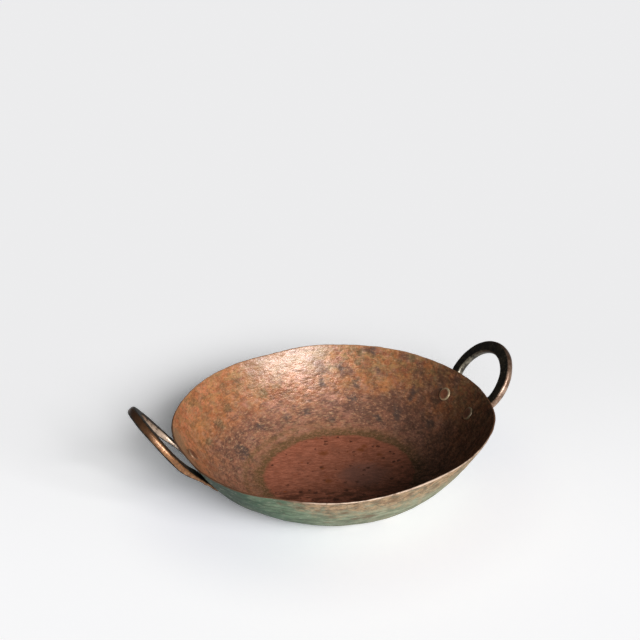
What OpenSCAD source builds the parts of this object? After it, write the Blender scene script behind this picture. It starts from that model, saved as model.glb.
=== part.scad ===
// Wide hammered copper pan with a flat base and two forged loop handles.
// Each handle is held by two rivets through the wall.
// The origin is the centre of the underside, +Z is up, and the handles lie along X.
// All sizes are in millimetres and all angles in degrees.

/* [Bowl] */
// Diameter over the rim
rim_d = 400; // [370:2:430]
// Height from the underside to the top of the rim
bowl_h = 88; // [80:1:100]
// Diameter of the flat base
base_d = 194; // [174:2:214]
// Thickness of the hammered wall
wall_t = 2; // [1.6:0.1:2.6]
// Lean of the wall from upright at the rim, in degrees
rim_lean = 33; // [28:1:38]

/* [Handles] */
// Width of the strap, seen face on
strap_w = 16; // [13:0.5:18]
// Thickness of the strap
strap_t = 7.6; // [6:0.1:9]
// Width over the widest part of a loop
loop_w = 109; // [100:1:118]
// Rise of the right loop above its rivets, along its own face
right_rise = 96; // [88:1:120]
// Rise of the left loop above its rivets, along its own face
left_rise = 119; // [96:1:124]
// Drop from the top of the rim to the rivets
rivet_drop = 30; // [27:0.5:33]
// Lean of the right loop beyond the lean of the wall at its rivets, in degrees
right_flare = 2.5; // [-2:0.5:6]
// Lean of the left loop beyond the lean of the wall at its rivets, in degrees
left_flare = -1.5; // [-2:0.5:6]
// Stand-off of the loop's inner face from the wall at the rivets
loop_stand = 2.2; // [1.6:0.1:4]

/* [Feet and rivets] */
// Distance between the two rivets of one handle
rivet_span = 61; // [54:1:68]
// Diameter of the rivet shank
rivet_d = 6; // [4:0.5:7]
// Diameter of the domed head outside, on the foot
outer_head_d = 13; // [11:0.5:14.5]
// Height of the domed head outside
outer_head_h = 3.2; // [2:0.1:4]
// Diameter of the hammered head inside the bowl
inner_head_d = 14; // [11:0.5:16]
// Height of the hammered head inside the bowl
inner_head_h = 2; // [1.2:0.1:3]
// Width of the flattened foot
foot_w = 20; // [18:0.5:22]
// Thickness of the flattened foot
foot_t = 3; // [2.4:0.1:3.6]
// Length of the rounded toe below the rivet
toe_len = 21; // [16:1:24]
// Length over which the strap is drawn down to the foot
forge_len = 24; // [18:1:30]

/* [Fits] */
// Gap between the foot and the wall
seat_gap = 0.12; // [0.06:0.02:0.3]
// Radial gap between the shank and its holes
shank_gap = 0.05; // [0.03:0.01:0.1]
// Gap under a rivet head
head_gap = 0.06; // [0.04:0.02:0.2]

/* [Hidden] */

copper = [0.70, 0.43, 0.31];
dark_bronze = [0.20, 0.14, 0.10];
rivet_copper = [0.58, 0.37, 0.26];

rim_r = rim_d / 2;
base_r = base_d / 2;
// The edge of the rim is a half round as wide as the wall
edge_r = wall_t / 2;
edge_c = [rim_r - edge_r, bowl_h - edge_r];
// Reach of the wall's curve along the base, as a share of the flare
base_pull_share = 0.464;
// Reach of the wall's curve down from the rim, as a share of the height
rim_pull_share = 0.362;
wall_start = [base_r, 0];
wall_end = edge_c + edge_r * [cos(rim_lean), -sin(rim_lean)];
wall_low = [base_r + base_pull_share * (wall_end[0] - base_r), 0];
wall_high = wall_end - rim_pull_share * bowl_h * [sin(rim_lean), cos(rim_lean)];
wall_steps = 22;
edge_steps = 6;
search_steps = 22;

// The loop is widest at this share of its rise
belly_share = 0.43;
// The leg leaves the belly straight for this share of the belly's rise
leg_pull_share = 0.46;
// The leg leaves the rivet straight for this share of the belly's rise
foot_pull_share = 0.30;
// The leg splays out of the rivet by this share of the foot's width
splay_share = 0.08;
// The toes turn in by this share of their length
toe_turn_share = 0.10;
// The tip of a toe is thinner by this share of the foot
toe_thin_share = 0.45;
// The foot stays flat above the rivet for this share of its width
flat_share = 0.45;
// Corners of the strap are rounded by this share of its thickness
corner_share = 0.34;
// A narrow toe has corners of this share of its width at most
tip_corner_share = 0.42;
tip_angle = 80;
toe_steps = 6;
leg_steps = 14;
crown_steps = 12;
corner_steps = 2;

rivet_r = rivet_d / 2;
bore_r = rivet_r + shank_gap;
outer_head_r = outer_head_d / 2;
inner_head_r = inner_head_d / 2;
head_steps = 8;
// The rivet's holes run past both faces by the strap's thickness
overrun = strap_t;

// Point and slope of the wall's outer face, from the base at 0 to the rim at 1
function cubic(a, b, c, d, k) =
    pow(1 - k, 3) * a + 3 * k * pow(1 - k, 2) * b + 3 * k * k * (1 - k) * c + pow(k, 3) * d;
function cubic_slope(a, b, c, d, k) =
    pow(1 - k, 2) * (b - a) + 2 * k * (1 - k) * (c - b) + k * k * (d - c);
function unit(p) = p / norm(p);
function wall_point(k) = cubic(wall_start, wall_low, wall_high, wall_end, k);
function wall_slope(k) = unit(cubic_slope(wall_start, wall_low, wall_high, wall_end, k));
// The curve's place at a height is found by halving
function wall_place(z, lo = 0, hi = 1, n = search_steps) =
    n == 0 ? (lo + hi) / 2
    : wall_point((lo + hi) / 2)[1] < z ? wall_place(z, (lo + hi) / 2, hi, n - 1)
    : wall_place(z, lo, (lo + hi) / 2, n - 1);
function wall_radius(z) = wall_point(wall_place(z))[0];
function lean_at(z) = let (s = wall_slope(wall_place(z))) atan2(s[0], s[1]);
// Height of the rivets, and the wall's radius and lean there
rivet_z = bowl_h - rivet_drop;
rivet_wall_r = wall_radius(rivet_z);
rivet_lean = lean_at(rivet_z);
function smooth(x) = let (c = max(0, min(1, x))) c * c * (3 - 2 * c);
function mix(a, b, share) = a * (1 - share) + b * share;

// Outline of the wall: out along the underside, round the rim and back inside
function outer_face() = [for (i = [0 : wall_steps]) wall_point(i / wall_steps)];
function rim_edge() =
    [for (i = [1 : edge_steps - 1])
        edge_c + edge_r * [cos(180 * i / edge_steps - rim_lean), sin(180 * i / edge_steps - rim_lean)]];
function inner_face() =
    [for (i = [wall_steps : -1 : 0])
        let (s = wall_slope(i / wall_steps))
        wall_point(i / wall_steps) + wall_t * [-s[1], s[0]]];

// Places children at a rivet, with +Z pointing out of the wall
module at_rivet(side, hand) {
    rotate([0, 0, side > 0 ? 0 : 180])
        rotate([0, 0, hand * asin(rivet_span / 2 / rivet_wall_r)])
            translate([rivet_wall_r, 0, rivet_z])
                rotate([0, 90 + rivet_lean, 0])
                    children();
}

module rivet_hole(side, hand) {
    at_rivet(side, hand)
        translate([0, 0, -wall_t - overrun])
            cylinder(h = wall_t + strap_t + 2 * overrun, r = bore_r, $fn = 48);
}

module bowl() {
    color(copper)
        difference() {
            rotate_extrude($fn = 144)
                polygon(concat([[0, 0]], outer_face(), rim_edge(), inner_face(), [[0, wall_t]]));
            for (side = [-1, 1])
                for (hand = [-1, 1])
                    rivet_hole(side, hand);
        }
}

// Half of a loop from the tip of its toe to its crown, each entry giving
// the place across and up the face, the width, the thickness and the seat
function toe(half_span) =
    [for (i = [0 : toe_steps - 1])
        let (a = tip_angle * (1 - i / toe_steps))
        [half_span - toe_turn_share * toe_len * sin(a), -toe_len * sin(a),
         foot_w * cos(a), foot_t * (1 - toe_thin_share * pow(sin(a), 2)), 1]];
function leg(half_span, belly_u, belly_v) =
    [for (i = [0 : leg_steps - 1])
        let (p = cubic([half_span, 0],
                       [half_span + splay_share * foot_w, foot_pull_share * belly_v],
                       [belly_u, (1 - leg_pull_share) * belly_v],
                       [belly_u, belly_v], i / leg_steps),
             f = smooth((p[1] - flat_share * foot_w) / forge_len))
        [p[0], p[1], mix(foot_w, strap_w, f), mix(foot_t, strap_t, f), 1 - f]];
function crown(belly_u, belly_v, top_v) =
    [for (i = [0 : crown_steps])
        let (a = 90 * i / crown_steps)
        [belly_u * cos(a), belly_v + (top_v - belly_v) * sin(a), strap_w, strap_t, 0]];
function half_loop(rise) =
    let (belly_u = (loop_w - strap_w) / 2, belly_v = belly_share * rise)
    concat(toe(rivet_span / 2), leg(rivet_span / 2, belly_u, belly_v),
           crown(belly_u, belly_v, rise - strap_w / 2));
function whole_loop(rise) =
    let (half = half_loop(rise), n = len(half))
    concat(half, [for (i = [n - 2 : -1 : 0])
        [-half[i][0], half[i][1], half[i][2], half[i][3], half[i][4]]]);

// Across-the-strap direction at a station, from its neighbours
function across(loop, i) =
    let (a = loop[max(0, i - 1)], b = loop[min(len(loop) - 1, i + 1)],
         d = unit([b[0] - a[0], b[1] - a[1]]))
    [d[1], -d[0]];

// Outline of the strap across its length: across the face and out from it
function strap_outline(w, t) =
    let (c = min(corner_share * t, tip_corner_share * w))
    [for (corner = [0 : 3])
        for (j = [0 : corner_steps])
            let (a = 90 * corner + 90 * j / corner_steps,
                 side = corner == 0 || corner == 3 ? 1 : -1,
                 face = corner < 2 ? 1 : -1)
            [side * (w / 2 - c) + c * cos(a), t / 2 + face * (t / 2 - c) + c * sin(a)]];

// Inner face of the strap in space: flat for the loop, on the wall for the foot
function loop_frame(flare) =
    let (tilt = rivet_lean + flare, chord = sqrt(pow(rivet_wall_r, 2) - pow(rivet_span / 2, 2)),
         out = [cos(tilt), 0, -sin(tilt)], up = [sin(tilt), 0, cos(tilt)])
    [[chord, 0, rivet_z] + loop_stand * out, up, out];
function wall_seat(u, z) =
    let (r = wall_radius(z), lean = lean_at(z), turn = asin(u / r),
         out = [cos(turn) * cos(lean), sin(turn) * cos(lean), -sin(lean)])
    [[sqrt(r * r - u * u), u, z] + seat_gap * out, out];
function strap_point(frame, u, v, out_by, seat) =
    let (flat = frame[0] + [0, u, 0] + v * frame[1],
         on_wall = seat > 0 ? wall_seat(u, flat[2]) : [flat, frame[2]],
         face = mix(flat, on_wall[0], seat),
         out = unit(mix(frame[2], on_wall[1], seat)))
    face + out_by * out;
function strap_rings(rise, flare) =
    let (loop = whole_loop(rise), frame = loop_frame(flare))
    [for (i = [0 : len(loop) - 1])
        let (s = loop[i], side = across(loop, i))
        for (p = strap_outline(s[2], s[3]))
            strap_point(frame, s[0] + p[0] * side[0], s[1] + p[0] * side[1], p[1], s[4])];

// Skin over rings of m points each, with a flat fan on either end
function skin(rings, m) =
    concat(
        [for (i = [0 : rings - 2])
            for (j = [0 : m - 1])
                let (a = i * m + j, b = i * m + (j + 1) % m, c = a + m, d = b + m)
                each [[a, b, c], [b, d, c]]],
        [for (j = [1 : m - 2]) [0, j + 1, j]],
        [for (j = [1 : m - 2])
            let (e = (rings - 1) * m)
            [e, e + j, e + j + 1]]);

module strap(rise, flare) {
    outline_n = 4 * (corner_steps + 1);
    points = strap_rings(rise, flare);
    polyhedron(points, skin(len(points) / outline_n, outline_n));
}

module handle(side, rise, flare) {
    color(dark_bronze)
        difference() {
            rotate([0, 0, side > 0 ? 0 : 180])
                strap(rise, flare);
            for (hand = [-1, 1])
                rivet_hole(side, hand);
        }
}

module right_handle() {
    handle(1, right_rise, right_flare);
}

module left_handle() {
    handle(-1, left_rise, left_flare);
}

// Profile of a rivet: the flat hammered head inside, the shank and the dome outside
function dome(r, h, from, to) =
    [for (i = [0 : head_steps])
        let (a = mix(from, to, i / head_steps))
        [r * cos(a), h * sin(a)]];
module rivet(side, hand) {
    // The wall curves away under a flat head, which stands off by that much
    inner_sag = pow(inner_head_r, 2) / (2 * rivet_wall_r);
    inner_seat = -wall_t - inner_sag - head_gap;
    outer_seat = seat_gap + foot_t + head_gap;
    inner_head = [for (p = dome(inner_head_r, inner_head_h, -90, 0)) p + [0, inner_seat]];
    outer_head = [for (p = dome(outer_head_r, outer_head_h, 0, 90)) p + [0, outer_seat]];
    color(rivet_copper)
        at_rivet(side, hand)
            rotate_extrude($fn = 48)
                polygon(concat(inner_head, [[rivet_r, inner_seat], [rivet_r, outer_seat]], outer_head));
}

module right_front_rivet() {
    rivet(1, -1);
}

module right_back_rivet() {
    rivet(1, 1);
}

module left_front_rivet() {
    rivet(-1, 1);
}

module left_back_rivet() {
    rivet(-1, -1);
}

bowl();
right_handle();
left_handle();
right_front_rivet();
right_back_rivet();
left_front_rivet();
left_back_rivet();
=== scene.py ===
"""A wide hammered copper pan with two forged loop handles, dressed for one photograph's view."""

import math

import bmesh
import bpy
from mathutils import Matrix, Vector, noise


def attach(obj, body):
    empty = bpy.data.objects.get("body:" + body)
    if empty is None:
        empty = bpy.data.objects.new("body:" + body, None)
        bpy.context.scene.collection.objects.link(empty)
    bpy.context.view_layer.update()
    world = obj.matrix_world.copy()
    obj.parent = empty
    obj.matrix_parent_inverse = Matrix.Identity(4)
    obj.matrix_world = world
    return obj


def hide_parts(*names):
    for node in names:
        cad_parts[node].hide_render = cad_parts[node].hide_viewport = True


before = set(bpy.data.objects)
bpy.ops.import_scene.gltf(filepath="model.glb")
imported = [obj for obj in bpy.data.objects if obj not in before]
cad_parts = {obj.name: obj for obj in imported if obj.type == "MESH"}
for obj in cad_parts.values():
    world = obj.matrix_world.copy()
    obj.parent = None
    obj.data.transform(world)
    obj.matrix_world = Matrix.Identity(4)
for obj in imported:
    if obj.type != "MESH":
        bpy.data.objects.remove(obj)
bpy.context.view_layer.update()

MM = 0.001

# The pushes that make the stains' edges ragged come out the same in every run with this seed
STAIN_SEED = 7
noise.seed_set(STAIN_SEED)

# Sizes of the bowl, as the solids have them
RIM_R = 200 * MM
BOWL_H = 88 * MM
BASE_R = 97 * MM
WALL_T = 2 * MM
RIM_LEAN = math.radians(33)
BASE_PULL_SHARE = 0.464
RIM_PULL_SHARE = 0.362

# Sizes of the handles and rivets, as the solids have them
STRAP_W = 16 * MM
STRAP_T = 7.6 * MM
LOOP_W = 109 * MM
LOOP_RISE = {"right": 96 * MM, "left": 119 * MM}
LOOP_FLARE = {"right": math.radians(2.5), "left": math.radians(-1.5)}
LOOP_STAND = 2.2 * MM
RIVET_Z = BOWL_H - 30 * MM
RIVET_SPAN = 61 * MM
RIVET_R = 3 * MM
OUTER_HEAD_R = 6.5 * MM
OUTER_HEAD_H = 3.2 * MM
INNER_HEAD_R = 7 * MM
INNER_HEAD_H = 2 * MM
FOOT_W = 20 * MM
FOOT_T = 3 * MM
TOE_LEN = 21 * MM
FORGE_LEN = 24 * MM
SEAT_GAP = 0.12 * MM
HEAD_GAP = 0.06 * MM
BELLY_SHARE = 0.43
LEG_PULL_SHARE = 0.46
FOOT_PULL_SHARE = 0.30
SPLAY_SHARE = 0.08
TOE_TURN_SHARE = 0.10
TOE_THIN_SHARE = 0.45
FLAT_SHARE = 0.45
CORNER_SHARE = 0.34
TIP_CORNER_SHARE = 0.42
TIP_ANGLE = math.radians(80)

# The photograph's camera: its distance from the middle of the rim, its height
# as an angle, its tilt, and the pixel at which the middle of the rim shows
FRAME_PX = 640
FOCAL_PX = 1200
SENSOR_MM = 36
CAMERA_FAR = 1509.5 * MM
CAMERA_HEIGHT = math.radians(28.98)
CAMERA_TILT = math.radians(-2.33)
AIM_PX = (331.9, 413.9)
# The handles' axis is turned this far away from the camera's right hand
HANDLE_TURN = math.radians(22)


def cubic(a, b, c, d, k):
    """Point of a cubic curve, and its direction, at share k of its course."""
    point = (1 - k) ** 3 * a + 3 * k * (1 - k) ** 2 * b + 3 * k * k * (1 - k) * c + k ** 3 * d
    along = (1 - k) ** 2 * (b - a) + 2 * k * (1 - k) * (c - b) + k * k * (d - c)
    return point, along.normalized()


def smooth(x):
    x = max(0.0, min(1.0, x))
    return x * x * (3 - 2 * x)


def ramp(x, low, high):
    """Climbs smoothly from 0 at low to 1 at high."""
    return smooth((x - low) / (high - low))


def mix(a, b, share):
    return a * (1 - share) + b * share


def wall_at(k):
    """Outer face of the wall at share k from the base to the rim, as radius and height."""
    edge = WALL_T / 2
    start = Vector((BASE_R, 0))
    end = Vector((RIM_R - edge + edge * math.cos(RIM_LEAN), BOWL_H - edge - edge * math.sin(RIM_LEAN)))
    low = Vector((mix(BASE_R, end.x, BASE_PULL_SHARE), 0))
    high = end - RIM_PULL_SHARE * BOWL_H * Vector((math.sin(RIM_LEAN), math.cos(RIM_LEAN)))
    return cubic(start, low, high, end, k)


def wall_place(z):
    """Share of the wall's course at which it reaches height z."""
    halvings = 24
    low, high = 0.0, 1.0
    for _ in range(halvings):
        middle = (low + high) / 2
        if wall_at(middle)[0].y < z:
            low = middle
        else:
            high = middle
    return (low + high) / 2


def wall_radius(z):
    return wall_at(wall_place(z))[0].x


def lean_at(z):
    along = wall_at(wall_place(z))[1]
    return math.atan2(along.x, along.y)


def turned(direction):
    """Azimuth about the pan's axis of a direction in degrees from the camera's right hand."""
    return math.radians(direction) - HANDLE_TURN


def spot(azimuth, r=1, z=0):
    """The point at this azimuth about the pan's axis, this far from it and this high."""
    return Vector((r * math.cos(azimuth), r * math.sin(azimuth), z))


# Places where the smith's work left the wall out of round: the direction from
# the camera's right hand in degrees, the half width in degrees, the height and
# its reach in mm, and how far out the wall stands there in mm
BEATEN = [(353, 13, 88, 60, 2.9), (38, 15, 88, 50, -2.2), (178, 12, 88, 60, 1.2),
          (207, 10, 88, 40, -2.6), (226, 13, 44, 30, 3.6), (240, 8, 88, 50, 1.9),
          (251, 4, 88, 30, -1.4), (312, 16, 88, 60, -1.2)]
# The same for the height of the rim: direction, half width, and rise in mm
WAVY_RIM = [(95, 9, 1.4), (116, 10, -1.6), (145, 8, 1.2), (48, 10, -1.0), (304, 12, 1.0),
            (272, 15, -2.2), (335, 12, -1.0)]
# The floor of the pan lies off the middle of the rim, towards the camera's right
FLOOR_OFFSET = 6 * MM

# Stains on the inner wall: direction from the handles' axis in degrees, height and
# size in mm. Smoke is dark and round, shade is a wide brown cloud that is partly a
# stain and partly painted shade, olive is old grease, ember is bare orange copper
# and rose is copper that was heated
STAINS = {
    "smoke": [(64, 62, 5), (56, 43, 6), (47, 61, 5), (58, 28, 6), (83, 18, 5), (73, 46, 7), (27, 47, 6),
              (27, 37, 5), (137, 13, 9), (140, 8, 8), (114, 18, 5), (50, 85, 5), (14, 64, 5),
              (31, 20, 7), (42, 13, 6), (9, 25, 8), (96, 17, 6), (71, 9, 5)],
    # Shade clouds are partly brown stains and partly painted shade on the darker right and back wall
    "shade": [(138, 14, 13), (132, 22, 12), (148, 20, 9), (118, 22, 9), (111, 14, 7), (69, 14, 12),
              (56, 17, 14), (47, 12, 12), (42, 26, 18), (30, 26, 20), (22, 38, 18), (36, 40, 9),
              (20, 16, 14), (84, 20, 6), (60, 30, 8), (14, 52, 14), (52, 84, 6), (28, 66, 9),
              (36, 84, 7), (21, 60, 13), (15, 70, 12), (27, 76, 9), (8, 78, 10), (62, 58, 10),
              (72, 60, 8)],
    "olive": [(134, 42, 8), (124, 50, 6), (149, 40, 7), (102, 47, 8), (106, 57, 5), (55, 80, 6),
              (56, 68, 5), (32, 83, 7), (70, 80, 7), (119, 73, 5), (140, 77, 6), (98, 84, 6),
              (13, 46, 5), (172, 70, 9), (180, 62, 8)],
    "ember": [(120, 58, 6), (106, 66, 5), (42, 46, 8), (35, 57, 6), (144, 56, 11), (152, 46, 10),
              (68, 74, 6), (15, 33, 5), (40, 76, 5), (61, 50, 5)],
    "rose": [(69, 27, 10), (91, 4, 7), (108, 4, 7), (125, 13, 6), (101, 30, 9), (157, 8, 8),
             (82, 53, 7), (60, 15, 8), (113, 43, 6)],
}
# Brown stains where the green outside was rubbed, given in the same way
TARNISH = [(-100, 46, 9), (-105, 44, 6), (-109, 64, 5), (-124, 76, 5), (-131, 78, 4), (-114, 54, 4),
           (-92, 74, 5), (-86, 77, 4), (-118, 70, 4), (-74, 70, 5)]

# Pits and rusty spots of the pan's floor: place along and across the handles' axis
# and size, in mm
PITS = [(-56, -23, 2.2), (-44, -24, 2.0), (-40, -33, 2.6), (-10, 20, 2.0), (37, -11, 1.9),
        (44, -8, 1.9), (84, -26, 1.9), (65, -57, 2.1), (21, 78, 2.2), (51, 63, 1.6), (72, 38, 1.5),
        (72, 5, 1.7), (-22, 37, 1.1), (17, -33, 1.5), (-3, -45, 2.6), (-23, -58, 3.2), (60, -45, 2.3),
        (88, -9, 1.8), (0, 66, 1.3), (5, 6, 1.1)]
RUST = [(54, 37, 5.0), (62, 44, 4.0), (6, 50, 6.0), (71, 14, 3.5), (-10, 16, 3.0), (-15, -15, 5.0)]
# A dull cool patch right of the floor's middle: place and size in mm
COOL_PATCH = (34, -22, 34)

# How the hammer worked the bowl's sheet: the pitch and height of its lumps, the pitch and
# depth of the round marks, and their share outside and on the pan's floor
BOWL_LUMPS = ((32 * MM, 0.45 * MM), (14 * MM, 0.35 * MM))
MARK_PITCH = 10 * MM
MARK_DEPTH = 0.62 * MM
MARKS_OUTSIDE = 0.4
WORK_ON_FLOOR = 0.25
# The hammered wall grows out of the smoother base between these radii
HEEL_SPAN = (BASE_R - 4 * MM, BASE_R + 8 * MM)
# Pitch and reach of the pushes that make the edges of the stains ragged
STAIN_RAGS = ((11 * MM, 4 * MM), (5 * MM, 2 * MM))


def angle_between(a, b):
    return abs((a - b + math.pi) % (2 * math.pi) - math.pi)


def beaten(p):
    """How far hand work moved the wall at p."""
    azimuth = math.atan2(p.y, p.x)
    out = spot(azimuth)
    height = max(0.0, min(1.0, p.z / BOWL_H))
    push = 0.0
    for direction, half, level, reach, amount in BEATEN:
        off = angle_between(azimuth, turned(direction)) / math.radians(half)
        up = (p.z - level * MM) / (reach * MM)
        push += amount * MM * math.exp(-off * off - up * up)
    rise = 0.0
    for direction, half, amount in WAVY_RIM:
        off = angle_between(azimuth, turned(direction)) / math.radians(half)
        rise += amount * MM * math.exp(-off * off)
    sideways = FLOOR_OFFSET * (1 - height) ** 2
    moved = out * push * smooth(height * 2) + Vector((0, 0, rise)) * height ** 2
    return moved + sideways * spot(turned(0))


def dimple(p, pitch, depth):
    """Shallow hollows of a round hammer face, about one pitch apart."""
    ridge = 0.75
    level = 0.4
    near = noise.voronoi(p / pitch)[0][0]
    return depth * (min(near, ridge) - level)


def lathe(profile, steps, marks):
    """Spins a profile about Z into a closed mesh. marks are named values, one for each point."""
    weld = 0.001 * MM
    bm = bmesh.new()
    layers = {key: bm.verts.layers.float.new(key) for key, _ in marks}
    verts = [bm.verts.new((p.x, 0, p.y)) for p in profile]
    for key, values in marks:
        for vert, value in zip(verts, values):
            vert[layers[key]] = value
    edges = [bm.edges.new(pair) for pair in zip(verts, verts[1:])]
    bmesh.ops.spin(bm, geom=verts + edges, cent=(0, 0, 0), axis=(0, 0, 1), dvec=(0, 0, 0),
                   angle=2 * math.pi, steps=steps, use_merge=True, use_duplicate=False)
    bmesh.ops.remove_doubles(bm, verts=bm.verts, dist=weld)
    bmesh.ops.recalc_face_normals(bm, faces=bm.faces)
    return bm


def placed(name, data):
    """Stands an object with this mesh, lamp or camera in the scene."""
    item = bpy.data.objects.new(name, data)
    bpy.context.scene.collection.objects.link(item)
    return item


def finished(bm, name):
    """Turns a bmesh into a smooth shaded object at the origin."""
    mesh = bpy.data.meshes.new(name)
    bm.to_mesh(mesh)
    bm.free()
    for face in mesh.polygons:
        face.use_smooth = True
    return placed(name, mesh)


def dress(piece, node, finish):
    """Puts a finished piece in the place of its solid, under a name of its own."""
    piece.name = "dressed_" + node
    piece.data.name = piece.name
    piece.data.materials.append(finish)
    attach(piece, "root")
    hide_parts(node)


def bowl_profile():
    """Closed profile of the bowl with marks: inside is 1 on the inner face, lip is 1 at the rim."""
    points = []
    inside = []
    lip = []
    base_rings = 12
    wall_rings = 56
    floor_rings = 30
    edge_rings = 6
    worn_lip = 1.6 * MM
    crowding = 1.25
    places = [1 - (1 - i / wall_rings) ** crowding for i in range(wall_rings + 1)]

    def add(point, inner, edge=0.0):
        points.append(point)
        inside.append(inner)
        lip.append(edge)

    for i in range(base_rings):
        add(Vector((BASE_R * i / base_rings, 0)), 0.0)
    for k in places:
        point, _ = wall_at(k)
        add(point, 0.0, max(0.0, 1 - (BOWL_H - point.y) / worn_lip))
    edge = WALL_T / 2
    middle = Vector((RIM_R - edge, BOWL_H - edge))
    for i in range(1, edge_rings):
        a = math.pi * i / edge_rings - RIM_LEAN
        add(middle + edge * Vector((math.cos(a), math.sin(a))), i / edge_rings, 1.0)
    for k in reversed(places):
        point, along = wall_at(k)
        inner = point + WALL_T * Vector((-along.y, along.x))
        add(inner, 1.0, max(0.0, 1 - (BOWL_H - inner.y) / worn_lip))
    for i in range(floor_rings - 1, -1, -1):
        add(Vector((BASE_R * i / floor_rings, WALL_T)), 1.0)
    return points, inside, lip


def stain_places(entries, inset):
    """Middle and size of each stain of a list, in from the wall's outer face by inset."""
    places = []
    for direction, height, size in entries:
        r = wall_radius(height * MM) - inset
        places.append((spot(math.radians(direction), r, height * MM), size * MM))
    return places


def stain(p, places):
    """How much a stain shows at p: 1 in its middle, and 0 from two of its sizes away."""
    return max(0.0, max(1 - 0.5 * (p - middle).length / size for middle, size in places))


def make_bowl():
    """The bowl: raised from sheet, planished in rings and a little out of round."""
    around = 440
    on_stove = 0.1 * MM
    points, inside, lip = bowl_profile()
    bm = lathe(points, around, (("inside", inside), ("lip", lip)))
    mark = bm.verts.layers.float["inside"]
    stains = []
    for kind, entries in STAINS.items():
        stains.append((bm.verts.layers.float.new(kind), stain_places(entries, WALL_T)))
    tarnish = bm.verts.layers.float.new("tarnish")
    brown = stain_places(TARNISH, 0)
    bm.normal_update()
    for vert in bm.verts:
        p = vert.co.copy()
        r = math.hypot(p.x, p.y)
        worked = ramp(r, *HEEL_SPAN)
        lumps = sum(height * noise.noise(p / pitch) for pitch, height in BOWL_LUMPS)
        marks = dimple(p, MARK_PITCH, MARK_DEPTH)
        if vert[mark] < 0.5:
            marks *= MARKS_OUTSIDE
        else:
            worked += WORK_ON_FLOOR * (1 - worked)
        vert.co = p + vert.normal * (lumps + marks) * worked + beaten(p)
        vert.co.z = 0 if p.z < on_stove else max(vert.co.z, 0)
        if vert[mark] > 0.5:
            loose = p
            for pitch, reach in STAIN_RAGS:
                loose = loose + reach * noise.noise_vector(p / pitch)
            for layer, places in stains:
                vert[layer] = stain(loose, places)
        else:
            vert[tarnish] = stain(p, brown)
    return finished(bm, "bowl")


def half_loop(rise):
    """Half of a loop from the tip of its toe to its crown, as in the solids, but finer.
    Each entry is the place across and up the face, the width, the thickness and the seat,
    which is 1 where the strap lies on the wall and 0 where it stands free."""
    half = RIVET_SPAN / 2
    belly_u = (LOOP_W - STRAP_W) / 2
    belly_v = BELLY_SHARE * rise
    top_v = rise - STRAP_W / 2
    course = []
    toe_steps = 24
    leg_steps = 42
    crown_steps = 36
    for i in range(toe_steps):
        a = TIP_ANGLE * (1 - i / toe_steps)
        course.append((half - TOE_TURN_SHARE * TOE_LEN * math.sin(a), -TOE_LEN * math.sin(a),
                       FOOT_W * math.cos(a), FOOT_T * (1 - TOE_THIN_SHARE * math.sin(a) ** 2), 1.0))
    for i in range(leg_steps):
        p, _ = cubic(Vector((half, 0)), Vector((half + SPLAY_SHARE * FOOT_W, FOOT_PULL_SHARE * belly_v)),
                     Vector((belly_u, (1 - LEG_PULL_SHARE) * belly_v)), Vector((belly_u, belly_v)),
                     i / leg_steps)
        f = smooth((p.y - FLAT_SHARE * FOOT_W) / FORGE_LEN)
        course.append((p.x, p.y, mix(FOOT_W, STRAP_W, f), mix(FOOT_T, STRAP_T, f), 1 - f))
    for i in range(crown_steps + 1):
        a = math.pi / 2 * i / crown_steps
        course.append((belly_u * math.cos(a), belly_v + (top_v - belly_v) * math.sin(a),
                       STRAP_W, STRAP_T, 0.0))
    return course


def whole_loop(rise):
    half = half_loop(rise)
    return half + [(-u, v, w, t, seat) for u, v, w, t, seat in half[-2::-1]]


def strap_outline(w, t):
    """Outline across the strap: place across the face, place out from it, and wear.
    Wear is 1 on the narrow sides, 0 on the broad faces, and between them at the corners."""
    corner_steps = 3
    face_steps = 6
    side_steps = 3
    c = min(CORNER_SHARE * t, TIP_CORNER_SHARE * w)
    outline = []
    for corner in range(4):
        side = 1 if corner in (0, 3) else -1
        face = 1 if corner < 2 else -1
        middle = Vector((side * (w / 2 - c), t / 2 + face * (t / 2 - c)))
        for j in range(corner_steps + 1):
            a = math.pi / 2 * (corner + j / corner_steps)
            outline.append((middle + c * Vector((math.cos(a), math.sin(a))), math.cos(a) ** 2))
        along_face = corner % 2 == 0
        run = face_steps if along_face else side_steps
        if along_face:
            start = Vector((side * (w / 2 - c), t / 2 + face * t / 2))
            end = Vector((-side * (w / 2 - c), t / 2 + face * t / 2))
        else:
            start = Vector((side * w / 2, t / 2 + face * (t / 2 - c)))
            end = Vector((side * w / 2, t / 2 - face * (t / 2 - c)))
        for j in range(1, run):
            outline.append((start.lerp(end, j / run), 0.0 if along_face else 1.0))
    return outline


def loop_frame(flare):
    """Where a loop's inner face starts, its way up and its way out."""
    r = wall_radius(RIVET_Z)
    tilt = lean_at(RIVET_Z) + flare
    chord = math.sqrt(r * r - (RIVET_SPAN / 2) ** 2)
    out = Vector((math.cos(tilt), 0, -math.sin(tilt)))
    up = Vector((math.sin(tilt), 0, math.cos(tilt)))
    return Vector((chord, 0, RIVET_Z)) + LOOP_STAND * out, up, out


def wall_seat(u, z):
    """Place on the wall across u at height z, and the wall's way out there."""
    r = wall_radius(z)
    lean = lean_at(z)
    turn = math.asin(u / r)
    out = Vector((math.cos(turn) * math.cos(lean), math.sin(turn) * math.cos(lean), -math.sin(lean)))
    return Vector((math.sqrt(r * r - u * u), u, z)) + SEAT_GAP * out, out


def strap_point(place, u, v, out_by, seat):
    origin, up, out = place
    face = origin + Vector((0, u, 0)) + v * up
    if seat > 0:
        on_wall, wall_out = wall_seat(u, face.z)
        face = mix(face, on_wall, seat)
        out = mix(out, wall_out, seat).normalized()
    return face + out_by * out


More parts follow.
